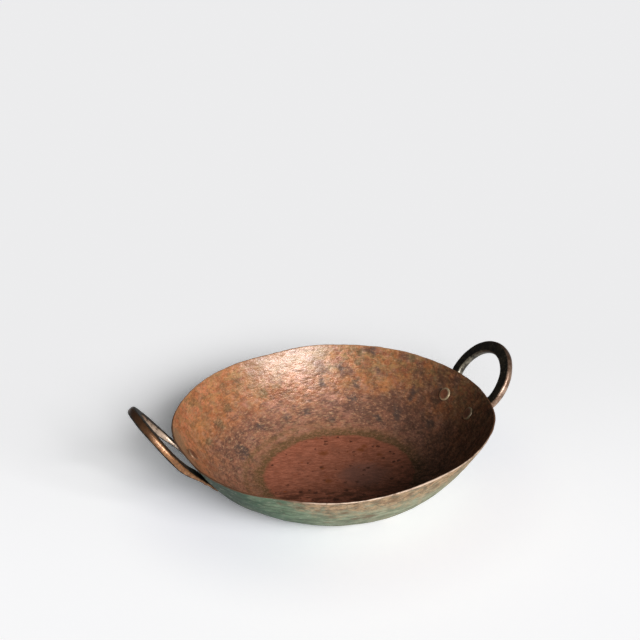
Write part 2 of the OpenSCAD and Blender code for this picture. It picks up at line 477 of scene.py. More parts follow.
# The straps are thicker than the solids by this much at their legs and at their crowns,
# and their crowns stand taller
LEG_SWELL = {"right": 1.8 * MM, "left": 1.0 * MM}
CROWN_SWELL = {"right": 1.3 * MM, "left": 3.0 * MM}
TALLER = {"right": 1.8 * MM, "left": 0.0}
# The bare metal of the narrow sides reaches further round the corners where the power
# is smaller. It is given for the corners of the inner and of the outer face. Where it
# stops short, the dark corners and bright middle are partly wear and partly painted
# shade and highlight of a rounded strap
RUB_AND_PAINTED_SHADE_POWER = {"right": (0.25, 0.45), "left": (0.45, 2.2)}
RUB_SHARE = {"right": 1.0, "left": 0.9}
# The left leg stands out by this much, and its foot lifts off the wall by this share
LEG_STAND = {"right": 0.0, "left": 0.9 * MM}
LIFT = {"right": 0.0, "left": 0.55}
# Heights over the rivets between which the straps swell, their own thickness gives way to
# the swollen one, the left leg moves out and the left foot lifts
SWELL_SPAN = {"right": (0.0, 30 * MM), "left": (8 * MM, 50 * MM)}
GIVE_WAY_SPAN = (-0.4 * FORGE_LEN, 0.6 * FORGE_LEN)
STAND_SPAN = (25 * MM, 60 * MM)
LIFT_SPAN = (-3 * MM, 11 * MM)
# Shares of the rise between which the leg turns into the crown
CROWN_SPAN = (0.62, 0.96)
# Pitch and height of the hammer marks and of the lumps of a strap, and their share
# where the strap lies on the wall
STRAP_MARKS = (15 * MM, 0.22 * MM)
STRAP_LUMPS = (21 * MM, 0.35 * MM)
STRAP_SEATED = 0.35

# What is kept with each point of a strap: bare wear, partly painted shade and highlight
# at the corners, seat on the wall, crown of the loop, the narrow side towards the loop's
# hole, and the right handle's ashen metal
STRAP_VALUES = ("wear", "seat", "crown", "hole", "ashen")


def strap_rings(name, side):
    """The sections of one strap from toe to toe. Each point has its place and its values."""
    course = whole_loop(LOOP_RISE[name])
    place = loop_frame(LOOP_FLARE[name])
    turn = Matrix.Rotation(0 if side > 0 else math.pi, 3, "Z")
    inner_power, outer_power = RUB_AND_PAINTED_SHADE_POWER[name]
    ashen = 1.0 if side > 0 else 0.0
    rings = []
    for i, (u, v, w, t, seat) in enumerate(course):
        before = course[max(0, i - 1)]
        after = course[min(len(course) - 1, i + 1)]
        along = Vector((after[0] - before[0], after[1] - before[1])).normalized()
        across = Vector((along.y, -along.x))
        crown = ramp(v / LOOP_RISE[name], *CROWN_SPAN)
        whole = STRAP_T + mix(LEG_SWELL[name], CROWN_SWELL[name], crown)
        swollen = mix(FOOT_T, whole, ramp(v, *SWELL_SPAN[name]))
        thick = mix(t, swollen, ramp(v, *GIVE_WAY_SPAN))
        stand = LEG_STAND[name] * ramp(v, *STAND_SPAN) * (1 - crown)
        seated = seat * (1 - LIFT[name] * ramp(v, *LIFT_SPAN))
        ring = []
        for p, wear in strap_outline(w, thick):
            up = v + p.x * across.y
            up += TALLER[name] * smooth(up / LOOP_RISE[name])
            at = strap_point(place, u + p.x * across.x, up, p.y + stand, seated)
            hole = 1.0 if p.x < 0 else 0.0
            rubbed_and_painted_light = RUB_SHARE[name] * wear ** (outer_power if p.y > thick / 2 else inner_power)
            ring.append((turn @ at, rubbed_and_painted_light, seat, crown, hole, ashen))
        rings.append(ring)
    return rings


def make_handle(name, side):
    """One handle: a strap of even section, drawn down and flattened at both ends into feet."""
    rings = strap_rings(name, side)
    bm = bmesh.new()
    slot = bm.verts.layers.int.new("slot")
    layers = {key: bm.verts.layers.float.new(key) for key in STRAP_VALUES}
    start = bmesh.ops.create_circle(bm, cap_ends=False, segments=len(rings[0]), radius=STRAP_T)
    verts = start["verts"]
    for k, vert in enumerate(verts):
        vert[slot] = k
    edges = bm.edges[:]
    for i, ring in enumerate(rings):
        if i > 0:
            grown = bmesh.ops.extrude_edge_only(bm, edges=edges)["geom"]
            verts = [item for item in grown if isinstance(item, bmesh.types.BMVert)]
            edges = [item for item in grown if isinstance(item, bmesh.types.BMEdge)]
        for vert in verts:
            vert.co, *values = ring[vert[slot]]
            for layer, value in zip(layers.values(), values):
                vert[layer] = value
    bmesh.ops.holes_fill(bm, edges=bm.edges)
    bmesh.ops.recalc_face_normals(bm, faces=bm.faces)
    bm.normal_update()
    pitch, height = STRAP_LUMPS
    moves = []
    for vert in bm.verts:
        p = vert.co
        blows = dimple(p, *STRAP_MARKS) + height * noise.noise(p / pitch)
        blows *= STRAP_SEATED + (1 - STRAP_SEATED) * (1 - vert[layers["seat"]])
        moves.append(vert.normal * blows + beaten(Vector((p.x, p.y, min(p.z, BOWL_H)))))
    for vert, move in zip(bm.verts, moves):
        vert.co += move
    return finished(bm, name + "_handle")


def rivet_place(side, hand):
    """Place and turn of a rivet: its own Z points out of the wall."""
    r = wall_radius(RIVET_Z)
    turn = (0 if side > 0 else math.pi) + hand * math.asin(RIVET_SPAN / 2 / r)
    move = Matrix.Rotation(turn, 4, "Z") @ Matrix.Translation((r, 0, RIVET_Z))
    return move @ Matrix.Rotation(math.pi / 2 + lean_at(RIVET_Z), 4, "Y")


# The inner heads were hammered out a little wider than the solids' heads, with
# a steep edge: a power under 1 fills the outline of the head
SPREAD_HEAD_R = INNER_HEAD_R + 2 * MM
PILLOW = 0.5
# Pitch and height of the lumps on a rivet
RIVET_LUMPS = (4 * MM, 0.3 * MM)


def make_rivet(name, side, hand):
    """A rivet closed by hand: a flat head inside, the shank, and a dome on the foot."""
    rings = 12
    around = 48
    inner_seat = -WALL_T - INNER_HEAD_R ** 2 / (2 * wall_radius(RIVET_Z)) - HEAD_GAP
    outer_seat = SEAT_GAP + FOOT_T + HEAD_GAP
    profile = []
    wear = []
    for i in range(rings + 1):
        a = math.pi / 2 * (1 - i / rings)
        over = math.cos(a) ** PILLOW
        profile.append(Vector((SPREAD_HEAD_R * over, inner_seat - INNER_HEAD_H * math.sin(a) ** PILLOW)))
        wear.append(1 - over)
    profile += [Vector((RIVET_R, inner_seat)), Vector((RIVET_R, outer_seat))]
    wear += [0.0, 0.0]
    for i in range(rings + 1):
        a = math.pi / 2 * i / rings
        profile.append(Vector((OUTER_HEAD_R * math.cos(a), outer_seat + OUTER_HEAD_H * math.sin(a))))
        wear.append(1 - math.cos(a))
    bm = lathe(profile, around, (("wear", wear),))
    place = rivet_place(side, hand)
    bmesh.ops.transform(bm, matrix=place, verts=bm.verts)
    bmesh.ops.recalc_face_normals(bm, faces=bm.faces)
    bm.normal_update()
    shift = beaten(place.translation)
    pitch, height = RIVET_LUMPS
    moves = [vert.normal * (height * noise.noise(vert.co / pitch)) + shift for vert in bm.verts]
    for vert, move in zip(bm.verts, moves):
        vert.co += move
    return finished(bm, name)


# The old wax and lacquer on copper reflects more than plain oil
FILM_IOR = 1.75

# Directions of what shows on one side of the bowl only, in degrees from the camera's right hand
ORANGE_SIDE = 176
POLISHED_SIDE = 110
FILMED_SIDE = 120
SCALED_SIDE = 140
OLIVE_STRIP_SIDE = 198
FAR_RING_SIDE = 160
PAINTED_LIGHT_SIDE = 312
PAINTED_SHADE_SIDE = 212
PAINTED_LIGHT_LIP_SIDE = 298
PALE_LIP_SIDE = 105
# Where the soot is thickest, on the wall that stands away from the lamps: it is partly soot and partly
# painted shade
SOOT_AND_SHADE_MIDDLE = spot(turned(-22), 168 * MM, 54 * MM)

# Colours of the inner wall. Where a name has two, a pattern runs from one to the other
COPPER_TONES = ((0.34, 0.115, 0.055), (0.5, 0.19, 0.075))
ORANGE_TONES = ((0.56, 0.2, 0.078), (0.84, 0.29, 0.14))
GREASE_TONES = ((0.15, 0.105, 0.05), (0.25, 0.19, 0.105))
PINK_COPPER = (0.5, 0.245, 0.165)
LOW_PINK = (0.49, 0.235, 0.175)
WORN_BROWN = (0.26, 0.125, 0.055)
GOLDEN = (0.46, 0.27, 0.115)
EMBER = (0.6, 0.255, 0.095)
ROSE = (0.58, 0.28, 0.205)
MOTTLE_BROWN = (0.135, 0.066, 0.048)
BROWN_AND_PAINTED_SHADE = (0.125, 0.062, 0.048)
BAND_BROWN = (0.14, 0.075, 0.058)
SMOKE = (0.105, 0.075, 0.068)
DIRT = (0.09, 0.05, 0.032)
PALE_SCALE = (0.62, 0.43, 0.26)
BARE_COPPER = (0.8, 0.46, 0.28)
POLISHED_AND_PAINTED_SHEEN = (0.38, 0.26, 0.17)
OLIVE_STRIP = (0.3, 0.23, 0.145)
WARMTH = (1, 0.945, 0.87)
# Colour of the soot, which also serves as painted shade on the wall away from the lamps
SOOT_AND_PAINTED_SHADE = (0.018, 0.01, 0.005)

# Colours of the pan's floor and of the rings of grease around it
FLOOR_TONES = ((0.36, 0.115, 0.062), (0.57, 0.205, 0.122))
FLOOR_PATCH = (0.23, 0.085, 0.05)
COOL_BROWN = (0.25, 0.125, 0.1)
FRONT_GRIME_AND_SHADE = (0.12, 0.04, 0.02)
RUST_CLOUD = (0.38, 0.095, 0.02)
RUST_SPOT = (0.27, 0.075, 0.018)
PIT_BROWN = (0.075, 0.022, 0.012)
RING_OLIVE = (0.185, 0.108, 0.046)

# Colours of the outside and of the lip
GREEN_TONES = ((0.05, 0.108, 0.058), (0.12, 0.232, 0.135))
PALE_CRUST_TONES = ((0.21, 0.23, 0.145), (0.43, 0.44, 0.3))
TAN_TONES = ((0.17, 0.09, 0.045), (0.53, 0.35, 0.198))
LIP_TONES = ((0.13, 0.06, 0.03), (0.42, 0.2, 0.1))
PAINTED_SHADE_GREEN = (0.028, 0.052, 0.036)
TARNISH_BROWN = (0.17, 0.1, 0.05)
CRUST_DIRT = (0.13, 0.11, 0.075)
CRUST_SPECK = (0.55, 0.52, 0.4)
RUBBED_AND_PAINTED_LIT_LIP = (0.66, 0.49, 0.37)

# Colours of the handles and rivets
SKIN_TONES = ((0.006, 0.0055, 0.0045), (0.02, 0.016, 0.01))
BRONZE_TONES = ((0.24, 0.1, 0.036), (0.42, 0.2, 0.085))
ASHEN_TONES = ((0.17, 0.105, 0.07), (0.5, 0.36, 0.28))
GREY_TONES = ((0.14, 0.1, 0.07), (0.58, 0.43, 0.32))
OLIVE_TONES = ((0.045, 0.038, 0.027), (0.26, 0.23, 0.17))
RIVET_TONES = ((0.16, 0.06, 0.03), (0.3, 0.115, 0.06))
SKIN_DUST = (0.1, 0.085, 0.06)
BRONZE_SPECK = (0.12, 0.055, 0.026)
CROWN_BROWN_AND_SHADE = (0.05, 0.023, 0.012)
CROWN_GREY_AND_SHADE = (0.045, 0.03, 0.02)
RIVET_EDGE_AND_GLINT = (0.46, 0.36, 0.22)


class Nodes:
    """The nodes of a material or of the room, under construction."""

    def __init__(self, owner):
        self.owner = owner
        owner.use_nodes = True
        self.tree = owner.node_tree
        self.tree.nodes.clear()

    def add(self, kind, sockets=None, **settings):
        node = self.tree.nodes.new("ShaderNode" + kind)
        for key, value in settings.items():
            setattr(node, key, value)
        for key, value in (sockets or {}).items():
            self.feed(node.inputs[key], value)
        return node

    def feed(self, socket, value):
        if isinstance(value, bpy.types.NodeSocket):
            self.tree.links.new(value, socket)
        elif socket.type == "RGBA":
            socket.default_value = (*value, 1)
        else:
            socket.default_value = value


class Finish(Nodes):
    """One material under construction. Each method adds nodes and gives back their output."""

    def __init__(self, name):
        super().__init__(bpy.data.materials.new(name))
        self.place = self.add("TexCoord").outputs["Object"]

    def reckon(self, operation, first, *others, clamp=False):
        """Arithmetic on any number of values, from left to right."""
        for other in others:
            first = self.add("Math", {0: first, 1: other}, operation=operation,
                             use_clamp=clamp).outputs[0]
        return first

    def times(self, *values):
        return self.reckon("MULTIPLY", *values)

    def plus(self, *values, clamp=False):
        return self.reckon("ADD", *values, clamp=clamp)

    def less(self, value, part):
        return self.reckon("SUBTRACT", value, part)

    def most(self, *values):
        return self.reckon("MAXIMUM", *values)

    def rest(self, share):
        return self.less(1, share)

    def swing(self, pattern, width):
        """A pattern of 0 to 1, made to swing to both sides of 0 over this width."""
        return self.times(self.less(pattern, 0.5), width)

    def vector(self, operation, *values):
        return self.add("VectorMath", dict(enumerate(values)), operation=operation).outputs[0]

    def elsewhere(self, *move):
        """The place, moved, so that a pattern differs from the others."""
        return self.vector("ADD", self.place, move)

    def length(self, value):
        return self.add("VectorMath", {0: value}, operation="LENGTH").outputs["Value"]

    def far(self, place, point):
        """How far a place lies from a point."""
        return self.length(self.vector("SUBTRACT", place, point))

    def fit(self, value, low, high, to_low=0, to_high=1):
        """Carries low..high smoothly over to another range and stops at its ends."""
        return self.add("MapRange", {0: value, 1: low, 2: high, 3: to_low, 4: to_high},
                        interpolation_type="SMOOTHSTEP", clamp=True).outputs[0]

    def blotch(self, size, where=None, detail=4, rough=0.6, twist=0, low=None, high=None):
        """Cloudy pattern with blotches of about this size, cut between low and high if given."""
        sockets = {"Vector": where or self.place, "Scale": 1 / size, "Detail": detail,
                   "Roughness": rough, "Distortion": twist}
        value = self.add("TexNoise", sockets).outputs[0]
        return value if low is None else self.fit(value, low, high)

    def warp(self, size, amount):
        """The place, pushed about by this amount in a cloudy pattern."""
        cloud = self.add("TexNoise", {"Vector": self.place, "Scale": 1 / size, "Detail": 3})
        push = self.vector("SUBTRACT", cloud.outputs["Color"], (0.5, 0.5, 0.5))
        return self.vector("ADD", self.place, self.vector("MULTIPLY", push, (amount, amount, amount)))

    def cells(self, size, where=None, feature="F1"):
        return self.add("TexVoronoi", {"Vector": where or self.place, "Scale": 1 / size},
                        feature=feature)

    def paint(self, share, under, over, blend="MIX"):
        """Lays one colour over another."""
        return self.add("Mix", {0: share, 6: under, 7: over}, data_type="RGBA",
                        blend_type=blend).outputs[2]

    def between(self, share, low, high):
        return self.add("Mix", {0: share, 2: low, 3: high}, data_type="FLOAT").outputs[0]

    def mark(self, name):
        """A value kept with the mesh."""
        return self.add("Attribute", attribute_name=name).outputs["Fac"]

    def stained(self, kind, ragged, low, high):
        """A stain kept with the mesh, its edge made ragged and cut between low and high."""
        return self.fit(self.plus(self.mark(kind), ragged), low, high)

    def facing(self, way, direction, low, high):
        """1 where a way lies in this direction from the camera's right hand, 0 away from it."""
        near = self.add("VectorMath", {0: way, 1: spot(turned(direction))},
                        operation="DOT_PRODUCT").outputs["Value"]
        return self.fit(near, low, high)

    def bump(self, height, distance, strength):
        sockets = {"Height": height, "Distance": distance, "Strength": strength}
        return self.add("Bump", sockets).outputs[0]

    def metal(self, colour, metallic, roughness, normal, film, film_rough, gloss):
        """The finished material. film is a thin clear layer of grease or wax."""
        shader = self.add("BsdfPrincipled", {
            "Base Color": colour, "Metallic": metallic, "Roughness": roughness, "Normal": normal,
            "Specular IOR Level": gloss, "Coat Weight": film, "Coat Roughness": film_rough,
            "Coat Normal": normal, "Coat IOR": FILM_IOR})
        self.add("OutputMaterial", {"Surface": shader.outputs[0]})
        return self.owner


class BowlFinish(Finish):
    """The bowl's material, with the places, patterns and shares that its layers have in common."""

    def __init__(self):
        super().__init__("aged_copper")
        xyz = self.add("SeparateXYZ", {0: self.place})
        self.z = xyz.outputs[2]
        self.flat = self.add("CombineXYZ", {0: xyz.outputs[0], 1: xyz.outputs[1]}).outputs[0]
        self.toward = self.vector("NORMALIZE", self.flat)
        self.r = self.length(self.flat)
        self.course = self.plus(self.r, self.z)

        # Patterns, from fine to coarse, and the ragged edge that specks give a stain
        self.grit = self.blotch(1.5 * MM, detail=2, rough=0.7)
        self.speck = self.ringed(4 * MM, 2, self.course, detail=5, rough=0.7)
        self.fleck = self.blotch(15 * MM, where=self.elsewhere(0.3, 0.1, 0.7), detail=6, rough=0.7)
        self.cloud = self.blotch(30 * MM, detail=5, rough=0.62)
        self.loose = self.swing(self.speck, 1.5)

        # Shares of the inner wall: orange at the left, calm in its tones everywhere else,
        # polished at the back, and low down, where most stains are
        self.left = self.times(self.side(ORANGE_SIDE, 0.55, 1), self.fit(self.z, 30 * MM, 64 * MM))
        self.calm = self.rest(self.times(self.left, 0.3))
        polished = self.side(POLISHED_SIDE, 0.9, 0.985)
        self.polish = self.times(polished, self.fit(self.z, 40 * MM, 78 * MM))
        self.low_down = self.fit(self.z, 82 * MM, 22 * MM, 0.45, 1)

    def side(self, direction, low, high):
        """1 on the side of the bowl that lies in this direction from the camera's right hand."""
        return self.facing(self.toward, direction, low, high)

    def ringed(self, size, stretch, level, **how):
        """Cloudy pattern drawn out along the rings of the bowl."""
        spread = RIM_R / stretch
        place = self.vector("MULTIPLY", self.toward, (spread, spread, 0))
        rise = self.add("CombineXYZ", {2: level}).outputs[0]
        return self.blotch(size, where=self.vector("ADD", place, rise), **how)


def bare_wall(f):
    """Colour of the copper itself inside the wall, and where it turned golden."""
    wall = f.paint(f.fit(f.cloud, 0.38, 0.6), *COPPER_TONES)
    wall = f.paint(f.fit(f.fleck, 0.48, 0.66), wall, PINK_COPPER)
    wall = f.paint(f.times(f.fit(f.z, 48 * MM, 12 * MM), 0.6), wall, LOW_PINK)
    orange = f.paint(f.fit(f.fleck, 0.4, 0.6), *ORANGE_TONES)
    worn = f.blotch(8 * MM, where=f.elsewhere(0.5, 0.2, 0.9), detail=7, rough=0.75, low=0.45, high=0.57)
    orange = f.paint(f.times(worn, 0.5), orange, WORN_BROWN)
    wall = f.paint(f.times(f.left, 0.78), wall, orange)
    golden = f.ringed(12 * MM, 1.5, f.course, detail=7, rough=0.74, low=0.46, high=0.6)
    golden = f.times(golden, f.calm, f.fit(f.z, 30 * MM, 78 * MM, 0.15, 0.85))
    wall = f.paint(golden, wall, GOLDEN)
    wall = f.paint(f.times(f.stained("ember", f.loose, 0.15, 0.75), 0.7), wall, EMBER)
    wall = f.paint(f.times(f.stained("rose", f.loose, 0.15, 0.75), 0.8), wall, ROSE)
    return wall, golden


def greased(f, wall):
    """Old grease, green brown, mostly towards the rim but not where the wall is polished."""
    grease = f.blotch(13 * MM, where=f.elsewhere(1.1, 0.4, 0.2), detail=8, rough=0.8, low=0.45, high=0.6)
    grease = f.times(grease, f.fit(f.z, 20 * MM, 75 * MM, 0.3, 0.8))
    olive = f.most(grease, f.times(f.stained("olive", f.loose, 0.2, 0.75), 0.85))
    olive = f.times(olive, f.times(f.calm, f.fit(f.polish, 0, 1, 1, 0.25)))
    return f.paint(olive, wall, f.paint(f.fit(f.fleck, 0.42, 0.58), *GREASE_TONES)), olive


def browned(f, wall):
    """Brown clouds, partly stains and partly painted shade, broken dark bands where food and water
    stood, and dark smoke.
    """
    soft = f.blotch(9 * MM, where=f.elsewhere(0.2, 0.8, 0.5), detail=5, rough=0.6)
    soft = f.plus(f.swing(soft, 1.8), f.times(f.loose, 0.35))
    mottle = f.ringed(10 * MM, 2.2, f.course, detail=6, rough=0.64, low=0.49, high=0.63)
    mottle = f.times(mottle, f.calm, f.low_down)
    wall = f.paint(f.times(mottle, 0.72), wall, MOTTLE_BROWN)
    # Wide brown clouds: partly stains, partly painted shade
    shade = f.stained("shade", soft, 0.15, 0.95)
    wall = f.paint(f.times(shade, 0.78), wall, BROWN_AND_PAINTED_SHADE)
    loose_r = f.plus(f.r, f.swing(f.cloud, 34 * MM))
    band = f.times(f.fit(loose_r, 114 * MM, 130 * MM), f.fit(loose_r, 166 * MM, 144 * MM))
    rings = f.ringed(13 * MM, 3.5, f.r, detail=7, rough=0.75, low=0.42, high=0.58)
    band = f.times(band, f.between(rings, 0.2, 1), f.fit(f.speck, 0.38, 0.54, 0.35, 1))
    wall = f.paint(f.times(band, 0.72), wall, BAND_BROWN)
    smoke = f.stained("smoke", f.times(soft, 0.8), 0.2, 0.85)
    return f.paint(f.times(smoke, 0.85), wall, SMOKE), f.most(band, shade), smoke


def specked(f, wall):
    """Specks of dirt, of pale scale and of bare metal in the hammer marks."""
    dirt = f.fit(f.speck, 0.53, 0.62)
    wall = f.paint(f.times(dirt, 0.42), wall, DIRT)
    scale = f.ringed(3.2 * MM, 3.6, f.plus(f.course, 0.7), detail=5, rough=0.74, low=0.54, high=0.63)
    scale = f.times(scale, f.low_down, f.fit(f.left, 0, 1, 0.4, 0.3))
    scale = f.times(scale, f.between(f.side(SCALED_SIDE, -0.2, 0.9), 0.2, 1))
    wall = f.paint(scale, wall, PALE_SCALE)
    bare = f.times(f.fit(f.speck, 0.46, 0.39), f.fit(f.grit, 0.42, 0.54))
    return f.paint(f.times(bare, 0.42), wall, BARE_COPPER), dirt


def inner_wall(f):
    """Colour of the wall inside, and how dull it is."""
    wall, golden = bare_wall(f)
    wall, olive = greased(f, wall)
    wall, brown, smoke = browned(f, wall)
    wall, dirt = specked(f, wall)
    # A paler tone where the wall is polished: partly real polish, partly painted sheen that whitens the
    # highlight there
    wall = f.paint(f.times(f.polish, 0.35), wall, POLISHED_AND_PAINTED_SHEEN)
    strip = f.times(f.side(OLIVE_STRIP_SIDE, 0.95, 0.985), f.fit(f.z, 62 * MM, 78 * MM))
    wall = f.paint(f.times(strip, f.fit(f.speck, 0.42, 0.56, 0.45, 0.85)), wall, OLIVE_STRIP)
    wall = f.paint(f.rest(f.polish), wall, WARMTH, blend="MULTIPLY")
    greasy = f.times(f.most(olive, f.most(smoke, golden)), 0.65)
    dirty = f.times(f.most(dirt, brown), 0.75)
    return wall, f.times(f.most(greasy, dirty), f.fit(f.polish, 0, 1, 1, 0.5))


def floor_pits(f, ragged, towards):
    """Pits of the pan's floor: small ones in crowds, and those of the list."""
    pits = f.cells(9 * MM, where=ragged)
    pit_size = f.fit(pits.outputs["Color"], 0.35, 0.95, 0, 0.32)
    pit = f.fit(f.less(pits.outputs["Distance"], pit_size), 0.05, -0.05)
    crowd = f.blotch(30 * MM, where=f.vector("ADD", f.flat, (0.2, 0.5, 0)), detail=3, low=0.4, high=0.54)
    pit = f.times(pit, f.most(f.between(crowd, 0.35, 1), f.fit(towards, -25 * MM, -50 * MM)))
    for x, y, size in PITS:
        near = f.far(ragged, (x * MM, y * MM, WALL_T))
        pit = f.most(pit, f.fit(near, 1.7 * size * MM, 0.6 * size * MM))
    return pit


def pan_floor(f):
    """Colour of the scoured floor, and its fine streaks and its pits."""
    along = f.add("Mapping", {"Vector": f.place, "Rotation": (0, 0, -turned(0))}).outputs[0]
    towards = f.add("SeparateXYZ", {0: along}).outputs[1]
    streak = f.blotch(3.4 * MM, where=f.vector("MULTIPLY", along, (0.26, 1, 1)), detail=4, rough=0.72,
                      twist=1.3)
    floor = f.paint(f.fit(streak, 0.4, 0.6), *FLOOR_TONES)
    patchy = f.blotch(16 * MM, detail=7, rough=0.72, low=0.46, high=0.66)
    floor = f.paint(f.times(patchy, 0.5), floor, FLOOR_PATCH)
    cool_x, cool_y, cool_size = COOL_PATCH
    cool = f.far(f.warp(20 * MM, 22 * MM), (cool_x * MM, cool_y * MM, 0))
    cool = f.fit(cool, 1.2 * cool_size * MM, 0.5 * cool_size * MM, 0, 0.6)
    floor = f.paint(cool, floor, COOL_BROWN)
    # Dark brown towards the front of the floor: partly grime, partly painted shade of the near wall
    front = f.blotch(7 * MM, where=f.vector("MULTIPLY", along, (0.4, 1, 1)), detail=6, rough=0.75,
                     low=0.42, high=0.57)
    front = f.times(front, f.fit(towards, -18 * MM, -56 * MM, 0, 0.9))
    floor = f.paint(front, floor, FRONT_GRIME_AND_SHADE)
    rusty = f.blotch(11 * MM, where=f.vector("ADD", f.flat, (0.4, 0.9, 0)), detail=5, rough=0.6,
                     low=0.62, high=0.7)
    floor = f.paint(f.times(rusty, 0.75), floor, RUST_CLOUD)
    ragged = f.warp(3 * MM, 5 * MM)
    for x, y, size in RUST:
        near = f.far(ragged, (x * MM, y * MM, WALL_T))
        floor = f.paint(f.fit(near, 1.5 * size * MM, 0.3 * size * MM, 0, 0.8), floor, RUST_SPOT)
    pit = floor_pits(f, ragged, towards)
    return f.paint(f.times(pit, 0.85), floor, PIT_BROWN), streak, pit


def floor_rings(f):
    """Share of the pan's floor, and the olive rings of grease around it."""
    middle_r = f.far(f.flat, spot(turned(0), FLOOR_OFFSET))
    ring_r = f.plus(middle_r, f.swing(f.fleck, 16 * MM))
    on_floor = f.fit(ring_r, 99 * MM, 95 * MM)
    close = f.times(f.fit(ring_r, 92 * MM, 98 * MM), f.fit(ring_r, 120 * MM, 101 * MM))
    wide = f.times(f.fit(ring_r, 115 * MM, 119 * MM), f.fit(ring_r, 127 * MM, 121 * MM))
    wide = f.times(wide, f.side(FAR_RING_SIDE, 0.2, 0.9))
    olive = f.most(close, f.times(wide, 0.7))
    return on_floor, f.times(olive, f.fit(f.speck, 0.4, 0.56, 0.4, 1))


def bowl_soot_and_painted_shade(f):
    """Soot inside, on the side that stands away from the light: partly soot and partly painted shade."""
    away = f.plus(f.far(f.place, SOOT_AND_SHADE_MIDDLE), f.swing(f.cloud, 70 * MM))
    soot_and_shade = f.times(f.fit(away, 266 * MM, 58 * MM), 0.95)
    puffs = f.ringed(13 * MM, 0.8, f.course, detail=7, rough=0.72, low=0.38, high=0.6)
    return f.times(soot_and_shade, f.between(puffs, 0.8, 1), f.fit(f.speck, 0.35, 0.6, 0.86, 1))


def outer_wall(f):
    """Colour of the green crust outside, drawn out along the rings, with tan copper at the rim."""
    rows = f.fit(f.ringed(6 * MM, 6, f.z, detail=7, rough=0.7), 0.38, 0.62)
    # The crust is paler and barer towards the lamps: partly real pale crust and tan copper, partly
    # painted light
    lamp_side_paint = f.side(PAINTED_LIGHT_SIDE, 0.3, 0.95)
    green = f.paint(rows, *GREEN_TONES)
    # Painted shade: the green is darker on the far left, the side away from the lamps
    green = f.paint(f.times(f.side(PAINTED_SHADE_SIDE, 0.75, 0.99), 0.85), green, PAINTED_SHADE_GREEN)
    pale = f.plus(f.times(lamp_side_paint, 0.8), f.fit(f.cloud, 0.5, 0.75, 0, 0.3), clamp=True)
    crust = f.paint(pale, green, f.paint(rows, *PALE_CRUST_TONES))
    mottle = f.ringed(6 * MM, 1.8, f.z, detail=7, rough=0.78)
    tan = f.paint(f.fit(mottle, 0.4, 0.6), *TAN_TONES)
    patch = f.plus(f.swing(f.fleck, 1.6), f.swing(mottle, 1.6))
    level = f.fit(f.z, 40 * MM, 82 * MM, -0.3, 0.35)
    bare = f.plus(patch, level, f.fit(lamp_side_paint, 0, 0.7, -0.5, 0.45))
    crust = f.paint(f.fit(bare, 0.05, 0.95), crust, tan)
    tarnish = f.stained("tarnish", f.swing(mottle, 2.2), 0.25, 0.9)
    crust = f.paint(f.times(tarnish, 0.75), crust, TARNISH_BROWN)
    crust = f.paint(f.times(f.fit(f.speck, 0.53, 0.64), 0.5), crust, CRUST_DIRT)
    return f.paint(f.times(f.fit(f.speck, 0.45, 0.36), 0.35), crust, CRUST_SPECK)


def lip_colour(f, inside):
    """Colour of the lip: paler on the side towards the lamps, partly rubbed metal and partly painted
    light, and brown on the other.
    """
    # Painted light: the lip is paler on the side that faces the lamps, partly also rubbed
    rubbed_and_lit = f.times(f.side(PAINTED_LIGHT_LIP_SIDE, 0.7, 0.88), f.fit(f.fleck, 0.38, 0.54, 0.2, 1))
    rubbed_and_lit = f.times(rubbed_and_lit, f.fit(inside, 0.85, 0.5))
    return f.paint(rubbed_and_lit, f.paint(f.side(PALE_LIP_SIDE, 0.2, 0.7), *LIP_TONES), RUBBED_AND_PAINTED_LIT_LIP)


def bowl_relief(f, inside, on_floor, streak, pit):
    """Hammer marks, one hollow cell for each blow, and the floor's streaks and pits."""
    blows = f.reckon("POWER", f.cells(7.5 * MM).outputs["Distance"], 2)
    taps = f.reckon("POWER", f.cells(3.6 * MM).outputs["Distance"], 2)
    relief = f.plus(f.times(blows, 0.4), f.times(taps, 0.25), f.times(f.speck, 0.6))
    relief = f.plus(relief, f.times(f.grit, 0.25))
    flat_share = f.times(on_floor, inside)
    relief = f.times(relief, f.between(flat_share, f.between(inside, 0.45, 1), 0.22))
    relief = f.plus(relief, f.times(streak, flat_share, 0.35))
    return f.less(relief, f.times(pit, flat_share, 0.5))


def bowl_finish():
    """Aged hammered copper: red brown inside with heat stains, green outside, bare at the rim."""
    f = BowlFinish()
    inside = f.mark("inside")
    wall, dull = inner_wall(f)
    floor, streak, pit = pan_floor(f)
    on_floor, olive_ring = floor_rings(f)
    within = f.paint(olive_ring, f.paint(on_floor, wall, floor), RING_OLIVE)
    dull = f.most(f.times(dull, f.rest(on_floor)), olive_ring)
    # Soot and painted shade darken the inside on the side away from the lamps
    soot_and_shade = bowl_soot_and_painted_shade(f)
    within = f.paint(soot_and_shade, within, SOOT_AND_PAINTED_SHADE)
    lip = f.fit(f.mark("lip"), 0.35, 0.95)
    colour = f.paint(lip, f.paint(inside, outer_wall(f), within), lip_colour(f, inside))

    hard = f.rest(f.most(dull, soot_and_shade))
    metallic = f.between(inside, 0.05, f.between(hard, 0.08, f.between(on_floor, 0.27, 0.15)))
    metallic = f.times(metallic, f.fit(f.polish, 0, 1, 1, 0.5))
    metallic = f.between(lip, metallic, 0.15)
    rough_in = f.plus(f.between(hard, 0.58, f.between(on_floor, 0.37, 0.45)), f.swing(f.grit, 0.25))
    roughness = f.between(lip, f.between(inside, 0.66, rough_in), 0.38)
    gloss = f.between(hard, 0.12, f.between(on_floor, 0.45, 0.18))
    film = f.times(hard, inside, f.between(on_floor, 1, 0.32))
    film = f.times(film, f.fit(f.polish, 0, 1, 0.48, 0.84))
    film = f.times(film, f.between(f.side(FILMED_SIDE, 0.7, 0.95), 0.65, 1))
    relief = bowl_relief(f, inside, on_floor, streak, pit)
    return f.metal(colour, metallic, roughness, f.bump(relief, MM, 0.85), film, 0.28, gloss)


